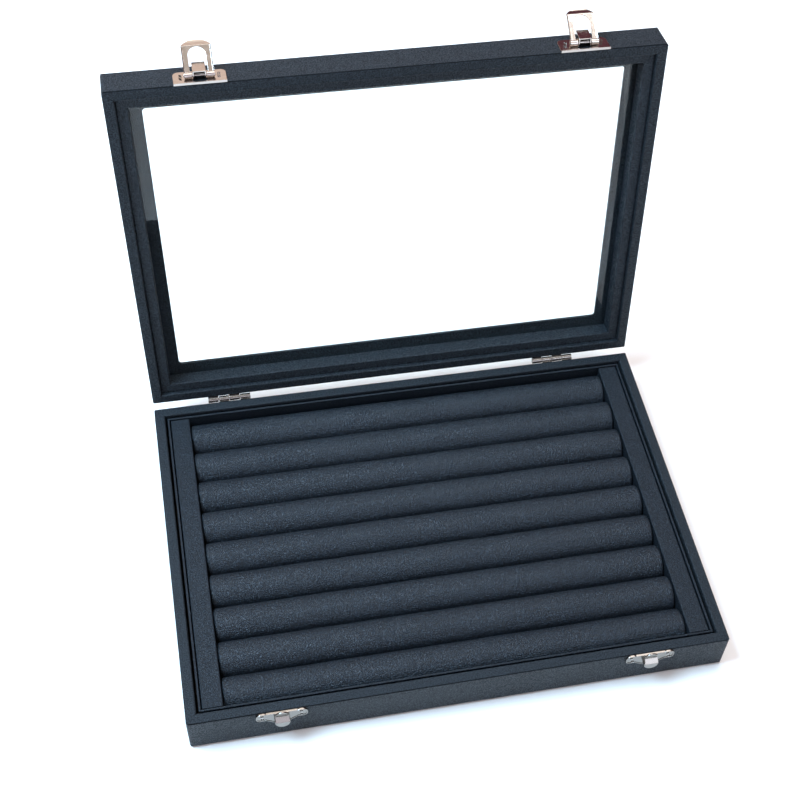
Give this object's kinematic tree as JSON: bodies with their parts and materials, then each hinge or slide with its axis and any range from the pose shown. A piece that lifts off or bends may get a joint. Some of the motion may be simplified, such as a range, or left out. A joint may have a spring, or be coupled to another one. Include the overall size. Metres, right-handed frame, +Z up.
{
  "type": "ring display box",
  "caption": "Shallow wrapped case with a hinged glazed lid on two lever latches, holding a tray of round foam ring rolls.",
  "frame": {"origin": "middle of the underside of the base, on the surface it stands on", "axes": "+X to the right along the length, +Y to the back where the hinges are, +Z up"},
  "size_m": [0.28, 0.2565, 0.2353],
  "materials": {
    "case_leatherette": "black embossed leatherette over fibreboard rails, matt",
    "lining_leatherette": "black leatherette, matt",
    "tray_leatherette": "black leatherette over card, matt",
    "roll_leatherette": "thin black leatherette over foam, matt",
    "fibreboard": "bare board",
    "base_cover_paper": "black embossed paper",
    "lid_glass": "clear flat glass",
    "nickel_plate": "bright nickel-plated pressed steel",
    "plated_steel": "nickel-plated screws, pins and springs"
  },
  "bodies": {
    "base": {"bottom_cover": "base_cover_paper", "base_board": "fibreboard", "base_rail_front": "case_leatherette", "base_rail_back": "case_leatherette", "base_rail_left": "case_leatherette", "base_rail_right": "case_leatherette", "tray_floor": "tray_leatherette", "tray_wall_front": "tray_leatherette", "tray_wall_back": "tray_leatherette", "tray_wall_left": "tray_leatherette", "tray_wall_right": "tray_leatherette", "end_block_left": "tray_leatherette", "end_block_right": "tray_leatherette", "ring_roll_1": "roll_leatherette", "ring_roll_2": "roll_leatherette", "ring_roll_3": "roll_leatherette", "ring_roll_4": "roll_leatherette", "ring_roll_5": "roll_leatherette", "ring_roll_6": "roll_leatherette", "ring_roll_7": "roll_leatherette", "ring_roll_8": "roll_leatherette", "ring_roll_9": "roll_leatherette", "catch_left": "nickel_plate", "catch_right": "nickel_plate", "catch_screws": "plated_steel", "hinge_base_leaf_left": "nickel_plate", "hinge_base_leaf_right": "nickel_plate", "hinge_base_screws": "plated_steel", "hinge_pin_left": "plated_steel", "hinge_pin_right": "plated_steel"},
    "lid": {"hinge_lid_leaf_left": "nickel_plate", "hinge_lid_leaf_right": "nickel_plate", "hinge_lid_screws": "plated_steel", "lid_rail_front": "case_leatherette", "lid_rail_back": "case_leatherette", "lid_rail_left": "case_leatherette", "lid_rail_right": "case_leatherette", "lid_top_frame": "case_leatherette", "glass_pane": "lid_glass", "lid_lining_front": "lining_leatherette", "lid_lining_back": "lining_leatherette", "lid_lining_left": "lining_leatherette", "lid_lining_right": "lining_leatherette", "latch_plate_left": "nickel_plate", "latch_plate_right": "nickel_plate", "latch_screws": "plated_steel", "latch_pin_left": "plated_steel", "latch_pin_right": "plated_steel", "latch_spring_left": "plated_steel", "latch_spring_right": "plated_steel"},
    "left_lever": {"latch_lever_left": "nickel_plate"},
    "right_lever": {"latch_lever_right": "nickel_plate"}
  },
  "joints": [
    {"name": "lid_hinge", "type": "hinge", "parent": "base", "child": "lid", "pos_m": [0, 0.10195, 0.0252], "axis": [1, 0, 0], "range_deg": [0, 98]},
    {"name": "left_latch_swing", "type": "hinge", "parent": "lid", "child": "left_lever", "pos_m": [-0.0933, 0.13475, 0.227], "axis": [1, 0, 0], "range_deg": [0, 140]},
    {"name": "right_latch_swing", "type": "hinge", "parent": "lid", "child": "right_lever", "pos_m": [0.0968, 0.13475, 0.227], "axis": [1, 0, 0], "range_deg": [0, 140]}
  ]
}
